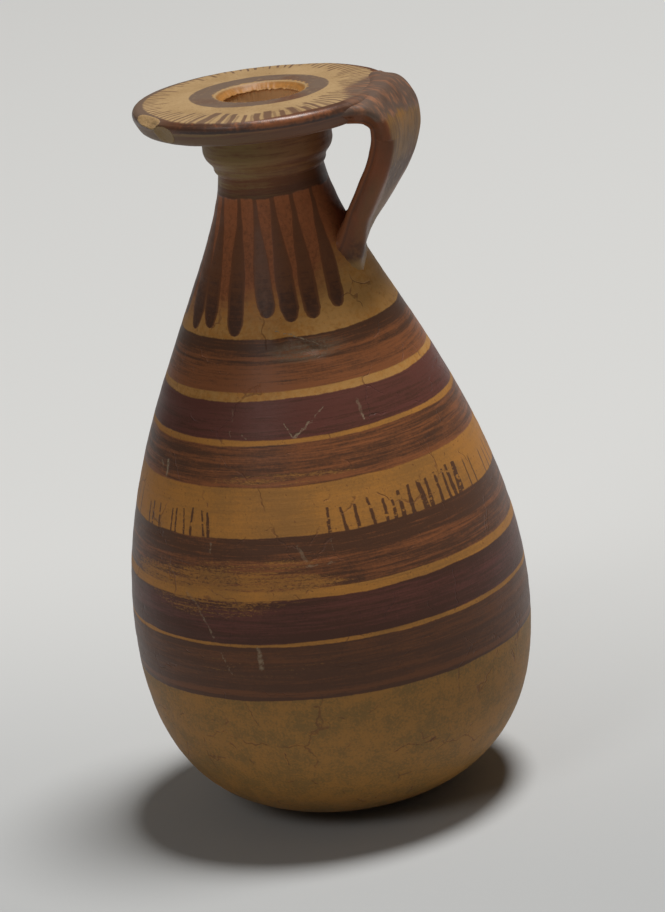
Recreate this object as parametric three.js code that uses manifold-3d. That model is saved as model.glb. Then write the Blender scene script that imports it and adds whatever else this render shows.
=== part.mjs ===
// Small perfume flask of fired clay: a pear-shaped body thrown on the wheel, a flat mouth disc
// and the ring of clay under it, and a strap handle from the edge of the disc to the shoulder.
// Millimetres, +Z up, the foot's flat spot on z = 0, the handle on +X.
import * as THREE from "three";
import { mergeVertices } from "three/addons/utils/BufferGeometryUtils.js";
import Module from "manifold-3d";

const { lerp, smoothstep, degToRad } = THREE.MathUtils;

// Driving sizes of the thrown body
const overallHeight = 130;
const bellyRadius = 35.35;
const bellyHeight = 34.7;
const footRadius = 9.2;
const footSpread = 1.7;
const footLift = 1.8;
const waistRadius = 9.2;
const waistDrop = 6.8;
const waistLean = 0.7;
const waistPull = 17;
const bellyWall = 3.2;
const neckWall = 2.4;
const floorThickness = 4;

// How far the belly's roundness carries up the shoulder, as a share of the way to the waist
const shoulderShare = 0.442;

// Driving sizes of the mouth disc
const discRadius = 22.6;
const discHeight = 5.6;
const discEdgeHeight = 3.1;
const discTopSlope = 0.9;
const discEdgeLean = 1;
const discEdgeRound = 0.7;
const crownWidth = 4.75;
const mouthBevelWidth = 1.35;
const mouthBevelDepth = 1.3;
const lipOverhang = 0.2;
const lipUndercut = 0.3;

// Driving sizes of the ring under the disc, and shares of its height at which it leaves its toe,
// swells and is full
const ringWall = 1.85;
const ringHeight = 6.9;
const ringToeWidth = 0.35;
const ringToeShare = 0.17;
const ringSwellShare = 0.2;
const ringFullShare = 0.5;

// Driving sizes of the strap handle
const strapWidth = 17;
const strapRootWidth = 24;
const strapFootWidth = 14.4;
const strapThickness = 4.2;
const strapFootThickness = 6;
const strapRootThickness = 3.2;
const strapEdgeRound = 1.3;
const strapTwistDegrees = 5;
const strapRootTwistDegrees = 2;
const strapStandOff = 0.6;
const strapLap = 5;
const strapRootDrop = 0.2;
const strapDrop = 26.7;
const strapFootSink = 3.5;

// Shares of the strap's length: where its foot ends, where it is fully drawn out, where it is
// fully twisted, and where its root starts to spread
const footShare = 0.3;
const drawnShare = 0.5;
const twistedShare = 0.6;
const rootShare = 0.78;

// The strap's centre line from foot to root, each point as shares of the way out to its reach
// and of the way up to its root
const strapLineShares = [
  [0, 0],
  [0.43, 0.286],
  [0.72, 0.486],
  [0.91, 0.65],
  [1, 0.81],
  [0.97, 0.92],
  [0.83, 0.99],
];

// The gap that two luted pieces keep, and how finely round forms are cut up
const luteGap = 0.3;
const turns = 48;
const bowlSteps = 12;
const shoulderSteps = 13;
const bulgeSteps = 6;
const cornerSteps = 3;
const strapSteps = 26;

const seatHeight = overallHeight - discHeight;
const waistHeight = seatHeight - waistDrop;
const boreRadius = waistRadius - neckWall;
const ringInside = waistRadius + luteGap;
const ringRadius = ringInside + ringWall;
const discEdgeTop = overallHeight - discTopSlope;

const wasm = await Module();
wasm.setup();

const at = (radius, height) => new THREE.Vector2(radius, height);

// A closed outline turned round the Z axis
function turned(points) {
  return new THREE.LatheGeometry(points, turns).rotateX(Math.PI / 2);
}

// The clay's outer or inner line, from its bottom over the belly to the waist of the neck
function pearOutline(bottom, belly, waist) {
  const bowl = new THREE.CubicBezierCurve(
    at(footRadius, bottom),
    at(footRadius + footSpread, bottom + footLift),
    at(belly, bottom),
    at(belly, bellyHeight),
  );
  const shoulder = new THREE.CubicBezierCurve(
    at(belly, bellyHeight),
    at(belly, lerp(bellyHeight, waistHeight, shoulderShare)),
    at(waist + waistLean, waistHeight - waistPull),
    at(waist, waistHeight),
  );
  return [...bowl.getPoints(bowlSteps), ...shoulder.getPoints(shoulderSteps).slice(1)];
}

const outerPear = pearOutline(0, bellyRadius, waistRadius);

function bodyGeometry() {
  const inner = pearOutline(floorThickness, bellyRadius - bellyWall, boreRadius);
  return turned([
    at(0, 0),
    ...outerPear,
    at(waistRadius, seatHeight),
    at(boreRadius, seatHeight),
    ...inner.reverse(),
    at(0, floorThickness),
  ]);
}

// The ring of clay pressed round the top of the neck, full above and drawn in to a thin toe
function ringGeometry() {
  const toe = ringInside + ringToeWidth;
  const bottom = seatHeight - ringHeight;
  const bulge = new THREE.CubicBezierCurve(
    at(toe, bottom),
    at(toe, bottom + ringHeight * ringToeShare),
    at(ringRadius, bottom + ringHeight * ringSwellShare),
    at(ringRadius, bottom + ringHeight * ringFullShare),
  );
  return turned([
    at(ringInside, bottom),
    ...bulge.getPoints(bulgeSteps),
    at(ringRadius, seatHeight),
    at(ringInside, seatHeight),
    at(ringInside, bottom),
  ]);
}

// The disc's underside, edge and top, from the ring out to the rim and back in to the crown
function discOutline(crownRadius) {
  const edgeBottom = discEdgeTop - discEdgeHeight;
  const rimRadius = discRadius - discEdgeRound / 4;
  const corner = new THREE.QuadraticBezierCurve(
    at(rimRadius, discEdgeTop - discEdgeRound),
    at(rimRadius, discEdgeTop),
    at(discRadius - discEdgeRound, discEdgeTop),
  );
  return [
    at(ringRadius, seatHeight),
    at(discRadius - discEdgeLean - discEdgeRound, edgeBottom),
    at(discRadius - discEdgeLean, edgeBottom + discEdgeRound / 2),
    at(discRadius, discEdgeTop - 2 * discEdgeRound),
    ...corner.getPoints(cornerSteps),
    at(crownRadius, overallHeight),
  ];
}

const lipRadius = boreRadius - lipOverhang;
const mouthRadius = lipRadius + mouthBevelWidth;
const discOuter = discOutline(mouthRadius + crownWidth);

function discGeometry() {
  const lipHeight = overallHeight - mouthBevelDepth;
  return turned([
    at(boreRadius, seatHeight),
    ...discOuter,
    at(mouthRadius + discEdgeRound / 2, overallHeight),
    at(mouthRadius, overallHeight - discEdgeRound / 4),
    at(lipRadius, lipHeight),
    at(boreRadius, lipHeight - lipUndercut),
    at(boreRadius, seatHeight),
  ]);
}

function solidFrom(geometry) {
  const bare = geometry.clone();
  bare.deleteAttribute("normal");
  bare.deleteAttribute("uv");
  const merged = mergeVertices(bare);
  return new wasm.Manifold(
    new wasm.Mesh({
      numProp: 3,
      vertProperties: merged.attributes.position.array,
      triVerts: new Uint32Array(merged.index.array),
    }),
  );
}

function geometryFrom(solid) {
  const mesh = solid.getMesh();
  const geometry = new THREE.BufferGeometry();
  geometry.setAttribute("position", new THREE.BufferAttribute(mesh.vertProperties, 3));
  geometry.setIndex(new THREE.BufferAttribute(mesh.triVerts, 1));
  geometry.computeVertexNormals();
  return geometry;
}

// The body's outer radius at a height on its shoulder
function shoulderRadius(height) {
  const above = outerPear.findIndex((point) => point.y > height);
  const low = outerPear[above - 1];
  const high = outerPear[above];
  return lerp(low.x, high.x, (height - low.y) / (high.y - low.y));
}

// The strap's centre line, from inside the shoulder's surface to inside the rim of the disc
function strapLine() {
  const rootRadius = discRadius - strapLap;
  const rootHeight = discEdgeTop - strapRootDrop - strapRootThickness / 2;
  const footHeight = rootHeight - strapDrop;
  const footRadiusIn = shoulderRadius(footHeight) - strapFootSink;
  const points = strapLineShares.map(([outShare, upShare]) => {
    const radius = lerp(footRadiusIn, discRadius + strapStandOff, outShare);
    return new THREE.Vector3(radius, 0, lerp(footHeight, rootHeight, upShare));
  });
  points.push(new THREE.Vector3(rootRadius, 0, rootHeight));
  return new THREE.CatmullRomCurve3(points, false, "centripetal");
}

// Rounded rectangle that is the strap's section, wide across and thin through
function roundedSection(width, thickness) {
  const x = width / 2;
  const y = thickness / 2;
  const r = strapEdgeRound;
  const shape = new THREE.Shape();
  shape.moveTo(x, r - y);
  shape.lineTo(x, y - r);
  shape.quadraticCurveTo(x, y, x - r, y);
  shape.lineTo(r - x, y);
  shape.quadraticCurveTo(-x, y, -x, y - r);
  shape.lineTo(-x, r - y);
  shape.quadraticCurveTo(-x, -y, r - x, -y);
  shape.lineTo(x - r, -y);
  shape.quadraticCurveTo(x, -y, x, r - y);
  return shape.getPoints(cornerSteps).slice(0, -1);
}

// The section at a share of the strap's length: drawn out from a thick foot to the bend, and
// spread again where the root is pressed on to the disc
function strapSection(share) {
  const spread = smoothstep(share, rootShare, 1);
  const drawnWidth = lerp(strapFootWidth, strapWidth, smoothstep(share, 0, drawnShare));
  const drawnThickness = lerp(strapFootThickness, strapThickness, smoothstep(share, 0, footShare));
  return roundedSection(
    lerp(drawnWidth, strapRootWidth, spread),
    lerp(drawnThickness, strapRootThickness, spread),
  );
}

// The strap's roll round its own line, which lifts its +Y edge a little
function strapTwist(share) {
  const pulled = smoothstep(share, 0, twistedShare) * strapTwistDegrees;
  return degToRad(lerp(pulled, strapRootTwistDegrees, smoothstep(share, rootShare, 1)));
}

function strapGeometry() {
  const line = strapLine();
  const vertices = [];
  for (let i = 0; i <= strapSteps; i++) {
    const share = i / strapSteps;
    const centre = line.getPointAt(share);
    const along = line.getTangentAt(share);
    const across = new THREE.Vector3(0, 1, 0).applyAxisAngle(along, -strapTwist(share));
    const through = new THREE.Vector3().crossVectors(across, along);
    for (const corner of strapSection(share)) {
      const point = centre.clone().addScaledVector(across, corner.x);
      vertices.push(point.addScaledVector(through, corner.y));
    }
  }
  const geometry = new THREE.BufferGeometry().setFromPoints(vertices);
  geometry.setIndex(tubeFaces(vertices.length / (strapSteps + 1)));
  return geometry;
}

// Faces of the strap's skin between its sections, and of its two flat ends
function tubeFaces(count) {
  const faces = [];
  for (let i = 0; i < strapSteps; i++)
    for (let j = 0; j < count; j++) {
      const a = i * count + j;
      const b = i * count + ((j + 1) % count);
      faces.push(a, b + count, b, a, a + count, b + count);
    }
  const last = strapSteps * count;
  for (let j = 1; j < count - 1; j++) {
    faces.push(0, j, j + 1);
    faces.push(last, last + j + 1, last + j);
  }
  return faces;
}

// Moves an outline out along its own normals, to keep a gap round it
function offsetOutline(points, distance) {
  return points.map((point, i) => {
    const before = points[Math.max(i - 1, 0)];
    const after = points[Math.min(i + 1, points.length - 1)];
    const along = after.clone().sub(before).normalize();
    return at(point.x + along.y * distance, point.y - along.x * distance);
  });
}

// The strap, cut to the shoulder at its foot and to the disc at its root
function handleGeometry() {
  const shoulder = turned([
    at(0, -luteGap),
    ...offsetOutline(outerPear, luteGap),
    at(waistRadius + luteGap, seatHeight),
    at(0, seatHeight),
  ]);
  const disc = turned([
    at(0, seatHeight - luteGap),
    ...offsetOutline(discOuter, luteGap),
    at(0, overallHeight + luteGap),
  ]);
  const strap = solidFrom(strapGeometry());
  return geometryFrom(strap.subtract(solidFrom(shoulder)).subtract(solidFrom(disc)));
}

const clay = (name, colour, roughness) =>
  new THREE.MeshStandardMaterial({ name, color: colour, roughness, metalness: 0 });

function piece(name, geometry, material) {
  const mesh = new THREE.Mesh(geometry, material);
  mesh.name = name;
  return mesh;
}

const flask = new THREE.Group();
flask.add(
  piece("body", bodyGeometry(), clay("banded_clay", 0x8a6a3e, 0.55)),
  piece("neck_ring", ringGeometry(), clay("ring_slip", 0x4a3626, 0.6)),
  piece("mouth_disc", discGeometry(), clay("disc_clay", 0xb08a52, 0.6)),
  piece("strap_handle", handleGeometry(), clay("handle_clay", 0x6e4228, 0.6)),
);

export default flask;
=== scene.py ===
import math
import random

import bmesh
import bpy
from mathutils import Matrix, Vector, noise
from mathutils.geometry import interpolate_bezier


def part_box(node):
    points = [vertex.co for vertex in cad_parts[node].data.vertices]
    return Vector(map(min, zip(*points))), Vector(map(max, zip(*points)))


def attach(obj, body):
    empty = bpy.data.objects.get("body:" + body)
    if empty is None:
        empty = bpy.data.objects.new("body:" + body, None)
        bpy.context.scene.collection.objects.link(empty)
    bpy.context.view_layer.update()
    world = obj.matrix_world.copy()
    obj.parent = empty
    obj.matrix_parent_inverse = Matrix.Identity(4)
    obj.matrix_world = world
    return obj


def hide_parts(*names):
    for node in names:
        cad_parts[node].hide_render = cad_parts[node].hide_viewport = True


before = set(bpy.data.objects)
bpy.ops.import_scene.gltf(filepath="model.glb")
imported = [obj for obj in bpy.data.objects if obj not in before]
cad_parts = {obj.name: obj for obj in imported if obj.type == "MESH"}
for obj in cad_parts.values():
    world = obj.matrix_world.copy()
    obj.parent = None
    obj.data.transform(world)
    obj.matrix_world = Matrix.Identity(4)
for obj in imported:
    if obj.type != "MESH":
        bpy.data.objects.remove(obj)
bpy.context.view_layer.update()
print("frame loaded")

mm = 0.001  # every size and place below is in millimetres, every angle in degrees

bodyBox, ringBox, discBox = (
    [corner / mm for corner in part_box(node)] for node in ("body", "neck_ring", "mouth_disc")
)
bellyRadius = bodyBox[1].x
seatHeight = bodyBox[1].z
ringBottom = ringBox[0].z
ringRadius = ringBox[1].y
discRadius = discBox[1].y
overallHeight = discBox[1].z


def smooth(value, low, high):
    share = min(max((value - low) / (high - low), 0), 1)
    return share * share * (3 - 2 * share)


def mixed(a, b, share):
    return a + (b - a) * share


# A point's turn round the axis, its distance from it and its height
def roundAbout(co):
    return math.degrees(math.atan2(co.y, co.x)), math.hypot(co.x, co.y), co.z


def spotAt(turn, radius, height):
    angle = math.radians(turn)
    return Vector((radius * math.cos(angle), radius * math.sin(angle), height))


# A point of an outline on the way from a to b
def between(a, b, share):
    return mixed(a[0], b[0], share), mixed(a[1], b[1], share)


def bezierLine(start, startHandle, endHandle, end, steps):
    corners = [Vector((radius, 0, height)) for radius, height in (start, startHandle, endHandle, end)]
    return [(point.x, point.z) for point in interpolate_bezier(*corners, steps + 1)]


# Cuts an outline into steps no longer than the given one
def finely(points, step):
    line = [points[0]]
    for a, b in zip(points, points[1:]):
        count = max(1, math.ceil(math.dist(a, b) / step))
        line += [between(a, b, i / count) for i in range(1, count + 1)]
    return line


cornerPull = 0.55


# Rounds the corner b of the outline a, b, c off, starting at this reach from it
def rounded(a, b, c, reach, steps=5):
    before = Vector(b) + (Vector(a) - Vector(b)).normalized() * reach
    after = Vector(b) + (Vector(c) - Vector(b)).normalized() * reach
    return bezierLine(before, between(before, b, cornerPull), between(after, b, cornerPull), after, steps)


# Spins an outline round the Z axis and closes it
def turned(points, segments):
    bm = bmesh.new()
    verts = [bm.verts.new((radius, 0, height)) for radius, height in points]
    edges = [bm.edges.new(pair) for pair in zip(verts, verts[1:] + verts[:1])]
    edges = [edge for edge in edges if edge.calc_length() > 0]
    bmesh.ops.spin(
        bm, geom=verts + edges, cent=(0, 0, 0), axis=(0, 0, 1),
        angle=math.tau, steps=segments, use_merge=True,
    )
    bmesh.ops.remove_doubles(bm, verts=bm.verts, dist=0.001)
    bmesh.ops.recalc_face_normals(bm, faces=bm.faces)
    return bm


# Puts a new object with this data in the scene
def added(name, data):
    made = bpy.data.objects.new(name, data)
    bpy.context.scene.collection.objects.link(made)
    return made


def meshed(bm, name, materials):
    mesh = bpy.data.meshes.new(name)
    bm.to_mesh(mesh)
    bm.free()
    for material in materials:
        mesh.materials.append(material)
    return added(name, mesh)


# Makes the finished piece: it rides on the one body and stands for its CAD node
def placed(bm, name, node, materials):
    bmesh.ops.scale(bm, vec=(mm, mm, mm), verts=bm.verts)
    for face in bm.faces:
        face.smooth = True
    piece = meshed(bm, name, materials)
    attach(piece, "root")
    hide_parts(node)
    print(name, "made,", len(piece.data.polygons), "faces")


# Colours of the clay and of its slips, thin and thick, as linear values
clay = {
    "buff": (0.47, 0.205, 0.045),
    "buffPale": (0.54, 0.3, 0.1),
    "buffDull": (0.33, 0.155, 0.043),
    "low": (0.345, 0.168, 0.043),
    "lowDull": (0.205, 0.122, 0.04),
    "discBuff": (0.465, 0.308, 0.15),
    "discDull": (0.36, 0.225, 0.1),
    # bare clay of the bore, coloured lighter than it is as painted light on its far wall
    "litBoreClay": (0.97, 0.64, 0.32),
    "ground": (0.335, 0.108, 0.042),
    "groundDark": (0.2, 0.066, 0.028),
    "rust": (0.265, 0.094, 0.038),
    "brown": (0.155, 0.06, 0.028),
    "dark": (0.09, 0.041, 0.025),
    "tongue": (0.16, 0.064, 0.03),
    "wine": (0.128, 0.044, 0.036),
    "wineDark": (0.072, 0.03, 0.022),
    "olive": (0.23, 0.145, 0.055),
    "faded": (0.19, 0.128, 0.09),
    "scuffed": (0.33, 0.25, 0.16),
    "grey": (0.22, 0.15, 0.095),
    # for the painted shadow line along the rim's side
    "black": (0.035, 0.022, 0.018),
    "redBrown": (0.215, 0.07, 0.029),
    "strapDull": (0.185, 0.105, 0.048),
    "rootDark": (0.142, 0.092, 0.068),
    "rootRed": (0.33, 0.155, 0.085),
}


# One value in a shader, so that a pattern can be written as a sum
class Wire:
    def __init__(self, kit, socket):
        self.kit, self.socket = kit, socket

    def __add__(self, other):
        return self.kit.sum("ADD", self, other)

    def __sub__(self, other):
        return self.kit.sum("SUBTRACT", self, other)

    def __rsub__(self, other):
        return self.kit.sum("SUBTRACT", other, self)

    def __mul__(self, other):
        return self.kit.sum("MULTIPLY", self, other)

    def __truediv__(self, other):
        return self.kit.sum("DIVIDE", self, other)

    def __abs__(self):
        return self.kit.sum("ABSOLUTE", self)

    __radd__, __rmul__ = __add__, __mul__

    # 0 below low, 1 above high and a soft step between, or the other way round
    def step(self, low, high):
        node = self.kit.add("MapRange", self, low, high, 0.0, 1.0, interpolation_type="SMOOTHSTEP")
        return Wire(self.kit, node.outputs[0])

    # A pattern round 0.5 as a shift either way
    def sway(self, reach):
        return (self - 0.5) * reach


# The shader nodes of one material, with the flask's own directions ready to use
class Kit:
    def __init__(self, name):
        self.material = bpy.data.materials.new(name)
        self.material.use_nodes = True
        self.tree = self.material.node_tree
        self.tree.nodes.clear()
        coordinates = self.add("TexCoord")
        self.place = self.vector("SCALE", coordinates.outputs["Object"], scale=1 / mm)
        self.x, self.y, self.z = self.parts(self.place)
        self.radius = self.sum("SQRT", self.x * self.x + self.y * self.y)
        self.turn = self.sum("ARCTAN2", self.y, self.x) * math.degrees(1)

    # A node with these values in its inputs. A setting with the name of an input fills that input
    def add(self, kind, *values, **settings):
        node = self.tree.nodes.new("ShaderNode" + kind)
        for key, value in settings.items():
            if key in node.inputs:
                self.fill(node.inputs[key], value)
            else:
                setattr(node, key, value)
        for socket, value in zip(node.inputs, values):
            self.fill(socket, value)
        return node

    def fill(self, socket, value):
        if isinstance(value, Wire):
            value = value.socket
        if isinstance(value, bpy.types.NodeSocket):
            self.tree.links.new(value, socket)
        elif socket.type == "RGBA":
            socket.default_value = (*clay.get(value, value), 1)
        elif socket.type == "VECTOR" and not hasattr(value, "__len__"):
            socket.default_value = (value,) * 3
        else:
            socket.default_value = value

    def sum(self, operation, a, b=0.0, c=0.0):
        return Wire(self, self.add("Math", a, b, c, operation=operation).outputs[0])

    def most(self, value, *others):
        for other in others:
            value = self.sum("MAXIMUM", value, other)
        return value

    def vector(self, operation, a, b=0.0, c=0.0, scale=None):
        node = self.add("VectorMath", a, b, c, operation=operation)
        if scale is not None:
            self.fill(node.inputs["Scale"], scale)
        single = operation in ("DOT_PRODUCT", "DISTANCE")
        return Wire(self, node.outputs[1 if single else 0])

    def parts(self, vector):
        return [Wire(self, socket) for socket in self.add("SeparateXYZ", vector).outputs]

    def mix(self, share, a, b):
        node = self.add("Mix", data_type="RGBA")
        for index, value in ((0, share), (6, a), (7, b)):
            self.fill(node.inputs[index], value)
        return Wire(self, node.outputs[2])

    # Lays one more colour over those laid before, as thick as the share
    def coat(self, share, colour):
        self.colour = self.mix(share, self.colour, colour)

    # Cloudy noise round 0.5. The stretch is its lumps to a millimetre along X, Y and Z
    def clouds(self, stretch, detail=2.0, roughness=0.5, seed=0.0):
        node = self.add(
            "TexNoise", noise_dimensions="4D", Vector=self.vector("MULTIPLY", self.place, stretch),
            W=seed, Scale=1.0, Detail=detail, Roughness=roughness,
        )
        return Wire(self, node.outputs[0])

    # Cloudy noise in all three directions, to shift a pattern with
    def tinted(self, scale, seed, reach):
        node = self.add("TexNoise", noise_dimensions="4D", Vector=self.place, W=seed, Scale=scale)
        return self.vector("SCALE", self.vector("SUBTRACT", node.outputs["Color"], 0.5), scale=reach)

    # Small round spots, one in most cells of the given size
    def spots(self, cell, radius, share, seed):
        node = self.add("TexVoronoi", voronoi_dimensions="4D", Vector=self.place, W=seed, Scale=1 / cell)
        picked = self.parts(node.outputs["Color"])
        size = picked[1] * radius / cell
        near = Wire(self, node.outputs["Distance"]).step(size, size * 0.4)
        return near * picked[0].step(share, share - 0.01)

    # Cuts a rising value into cells. Gives its way through the cell and three random shares of the cell
    def cells(self, value, seed=0.0):
        node = self.add("TexWhiteNoise", noise_dimensions="1D", W=self.sum("FLOOR", value) + seed)
        return self.sum("FRACT", value), self.parts(node.outputs["Color"])

    # A worn patch round a place on the surface, so many millimetres wide and high
    def patch(self, turn, height, halfWidth, halfHeight, rag):
        side = self.sum("WRAP", self.turn - turn, 180.0, -180.0) * self.radius * math.radians(1)
        across, up = side / halfWidth, (self.z - height) / halfHeight
        return (self.sum("SQRT", across * across + up * up) + rag.sway(1.6)).step(1.0, 0.55)

    # A scratch on the body from one turn and height to another, which fades at its edges
    def scratch(self, ends, halfWidth, jitter):
        start, end = onBody(*ends[:2]), onBody(*ends[2:])
        run = end - start
        out = self.vector("SUBTRACT", self.vector("ADD", self.place, jitter), tuple(start))
        along = self.vector("DOT_PRODUCT", out, tuple(run / run.length_squared))
        along = self.sum("MINIMUM", self.most(along, 0.0), 1.0)
        nearest = self.vector("SCALE", tuple(run), scale=along)
        return self.vector("DISTANCE", out, nearest).step(halfWidth, halfWidth * 0.3)

    # Ends the material with its shine and its relief, whose heights are in millimetres
    def finish(self, roughness, relief, specular):
        bump = self.add("Bump", Strength=1.0, Distance=mm, Height=relief)
        shader = self.add("BsdfPrincipled", Roughness=roughness, Normal=bump.outputs[0])
        self.fill(shader.inputs["Base Color"], self.colour)
        self.fill(shader.inputs["Specular IOR Level"], specular)
        self.add("OutputMaterial", Surface=shader.outputs[0])
        return self.material


# The camera stands where the photograph was taken from. Its roll gives the flask's slight lean
camera = {
    "azimuth": 16.0,
    "elevation": 17.5835,
    "roll": 7.857,
    "distance": 850.0,
    "flaskAside": -4.018,
    "flaskAbove": 1.693,
    "focalPixels": 4805.68,
    "imageHeight": 912,
    "sensor": 36.0,
}


def makeCamera(view):
    azimuth, elevation, roll = (math.radians(view[key]) for key in ("azimuth", "elevation", "roll"))
    level = math.cos(elevation)
    up = Vector((-math.sin(roll) * level, math.cos(roll) * level, math.sin(elevation)))
    right = Vector((math.cos(roll), math.sin(roll), 0))
    toHandle = right * math.cos(azimuth) + right.cross(up) * math.sin(azimuth)
    turn = Matrix((toHandle, up.cross(toHandle), up))  # the flask's axes as the camera sees them
    middle = Vector((view["flaskAside"], view["flaskAbove"], -view["distance"]))
    place = turn @ -middle + Vector((0, 0, overallHeight / 2))
    data = bpy.data.cameras.new("camera")
    data.sensor_width = view["sensor"]
    data.lens = view["focalPixels"] * view["sensor"] / view["imageHeight"]
    made = added("camera", data)
    made.matrix_world = Matrix.Translation(place * mm) @ turn.to_4x4()
    bpy.context.scene.camera = made


makeCamera(camera)

# A broad lamp overhead, a little behind on the handle's side, and a small one in front for the gloss
studio = {
    "floorHalf": 4000.0,
    "floorColour": (0.665, 0.665, 0.65),
    # painted shade: the floor turns darker towards the camera, where the light falls off
    "floorShadeColour": (0.47, 0.475, 0.47),
    "floorShadeStart": 150.0,
    "floorShadeEnd": -60.0,
    "roomColour": (1.0, 0.9, 0.78),
    "roomLight": 0.065,
    "lamps": {  # direction, distance, size and light of each
        "ceiling_lamp": ((0.195, 0.09, 1.0), 3000.0, 850.0, 1.01),
        "front_lamp": ((-0.28, -0.8, 0.6), 900.0, 330.0, 0.135),
    },
}


# An area lamp that looks at the middle of the flask. Its light is what a white surface facing it would show
def makeLamp(name, lean, distance, size, light):
    data = bpy.data.lights.new(name, "AREA")
    data.shape = "DISK"
    data.size = size * mm
    data.energy = light * (math.pi * distance * mm) ** 2
    towards = Vector(lean).normalized()
    made = added(name, data)
    made.location = (towards * distance + Vector((0, 0, overallHeight / 2))) * mm
    made.rotation_mode = "QUATERNION"
    made.rotation_quaternion = (-towards).to_track_quat("-Z", "Y")


def makeStudio(room):
    bm = bmesh.new()
    bmesh.ops.create_grid(bm, x_segments=1, y_segments=1, size=room["floorHalf"] * mm)
    kit = Kit("floor_card")
    kit.colour = room["floorColour"]
    # painted shade over the floor's front
    kit.coat(kit.y.step(room["floorShadeStart"], room["floorShadeEnd"]), room["floorShadeColour"])
    floor = meshed(bm, "floor", [kit.finish(0.9, kit.clouds(0.8, 3) * 0.02, 0.2)])
    for name, lamp in room["lamps"].items():
        makeLamp(name, *lamp)
    world = bpy.data.worlds.new("dim_room")
    world.use_nodes = True
    walls = world.node_tree.nodes["Background"]
    walls.inputs["Color"].default_value = (*room["roomColour"], 1)
    walls.inputs["Strength"].default_value = room["roomLight"]
    bpy.context.scene.world = world
    bpy.context.scene.view_settings.view_transform = "Standard"


makeStudio(studio)
print("camera, floor and lamps made")


# Smoothed clay with clouds, wiping lines, grain, specks and pinholes. Gives relief, grain and lines
def bareClay(kit, tone, dull):
    cloud = kit.clouds(0.07, 4, 0.6, seed=1)
    grain = kit.clouds(2.4, 3, 0.6, seed=2)
    wiped = kit.clouds((0.12, 0.12, 1.7), 4, 0.6, seed=3)
    holes = kit.spots(2.6, 0.28, 0.45, seed=4)
    specks = kit.clouds(1.7, 2, 0.5, seed=5).step(0.665, 0.7)
    kit.colour = kit.mix((cloud * 0.9 + wiped * 0.45 + grain * 0.45).step(0.74, 1.1), tone, dull)
    kit.coat(grain.step(0.6, 0.78) * 0.3, "brown")
    kit.coat(kit.most(holes, specks) * 0.6, "brown")
    return grain * 0.022 + wiped * 0.03 - holes * 0.05, grain, wiped


tipSlopes = ((4.0, 0.0), (1.1, 0.45), (0.4, 0.85))  # a stroke's rounded tip, as three straight slopes


# Hand-brushed strokes that start narrow at their top and end in a rounded tip, three to a set.
# Gives the distance outside the nearest stroke. The rise is 1 for tips at the bottom and -1 at the top
def strokes(kit, rows, rise, width, wobble):
    found = []
    for first in range(0, len(rows), 3):
        group = (rows[first:first + 3] * 3)[:3]
        tips, heights, leans, widths = (tuple(row[i] for row in group) for i in range(4))
        offsets = tuple(tip - height * lean for tip, height, lean in zip(tips, heights, leans))
        centre = kit.vector("MULTIPLY_ADD", kit.z, leans, offsets)
        side = kit.vector("WRAP", kit.vector("SUBTRACT", kit.turn + wobble, centre), 180.0, -180.0)
        side = kit.vector("SCALE", kit.vector("ABSOLUTE", side), scale=kit.radius * math.radians(1))
        above = kit.vector("MULTIPLY", kit.vector("SUBTRACT", kit.z, heights), rise)
        half = kit.vector("SCALE", widths, scale=width)
        for slope, start in tipSlopes:
            half = kit.vector("MINIMUM", half, kit.vector("MULTIPLY_ADD", above, slope, start))
        found += kit.parts(kit.vector("SUBTRACT", side, half))
    nearest = found[0]
    for outside in found[1:]:
        nearest = kit.sum("MINIMUM", nearest, outside)
    return nearest


# The thrown body. Heights, tips and turns of its painting were measured on the photographed side
body = {
    "footRadius": 9.2,
    "footSpread": 1.7,
    "footLift": 1.8,
    "bellyHeight": 34.7,
    "shoulderShare": 0.442,
    "waistRadius": 9.2,
    "waistDrop": 6.8,
    "waistLean": 0.7,
    "waistPull": 17.0,
    "bellyWall": 3.2,
    "neckWall": 2.4,
    "floorThickness": 4.0,
    "segments": 256,
    "bowlRows": 84,
    "shoulderRows": 190,
    "innerRows": 20,
    "footStep": 1.5,
    "neckStep": 0.6,
    "throwingRidge": 0.05,
    "handLumps": 0.12,
    "gougeDepth": 1.1,
    "gougeFade": 3.4,
}
waistHeight = seatHeight - body["waistDrop"]
boreRadius = body["waistRadius"] - body["neckWall"]
gougeEdge = ((-86.0, 92.3), (-77.0, 91.4), (-69.0, 90.2), (-55.0, 87.9))  # turn and height


def pearLine(bottom, belly, waist, bowlRows, shoulderRows):
    foot, widest = (body["footRadius"], bottom), (belly, body["bellyHeight"])
    spread = (foot[0] + body["footSpread"], bottom + body["footLift"])
    upwards = (belly, mixed(body["bellyHeight"], waistHeight, body["shoulderShare"]))
    inwards = (waist + body["waistLean"], waistHeight - body["waistPull"])
    bowl = bezierLine(foot, spread, (belly, bottom), widest, bowlRows)
    return bowl + bezierLine(widest, upwards, inwards, (waist, waistHeight), shoulderRows)[1:]


outerLine = pearLine(0, bellyRadius, body["waistRadius"], body["bowlRows"], body["shoulderRows"])


# The body's outer radius at a height
def pearRadius(height):
    if height >= waistHeight:
        return body["waistRadius"]
    low, high = 0, len(outerLine) - 1
    while high - low > 1:
        middle = (low + high) // 2
        low, high = (middle, high) if outerLine[middle][1] <= height else (low, middle)
    (r0, z0), (r1, z1) = outerLine[low], outerLine[high]
    return mixed(r0, r1, (height - z0) / (z1 - z0))


def onBody(turn, height):
    return spotAt(turn, pearRadius(height), height)


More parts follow.
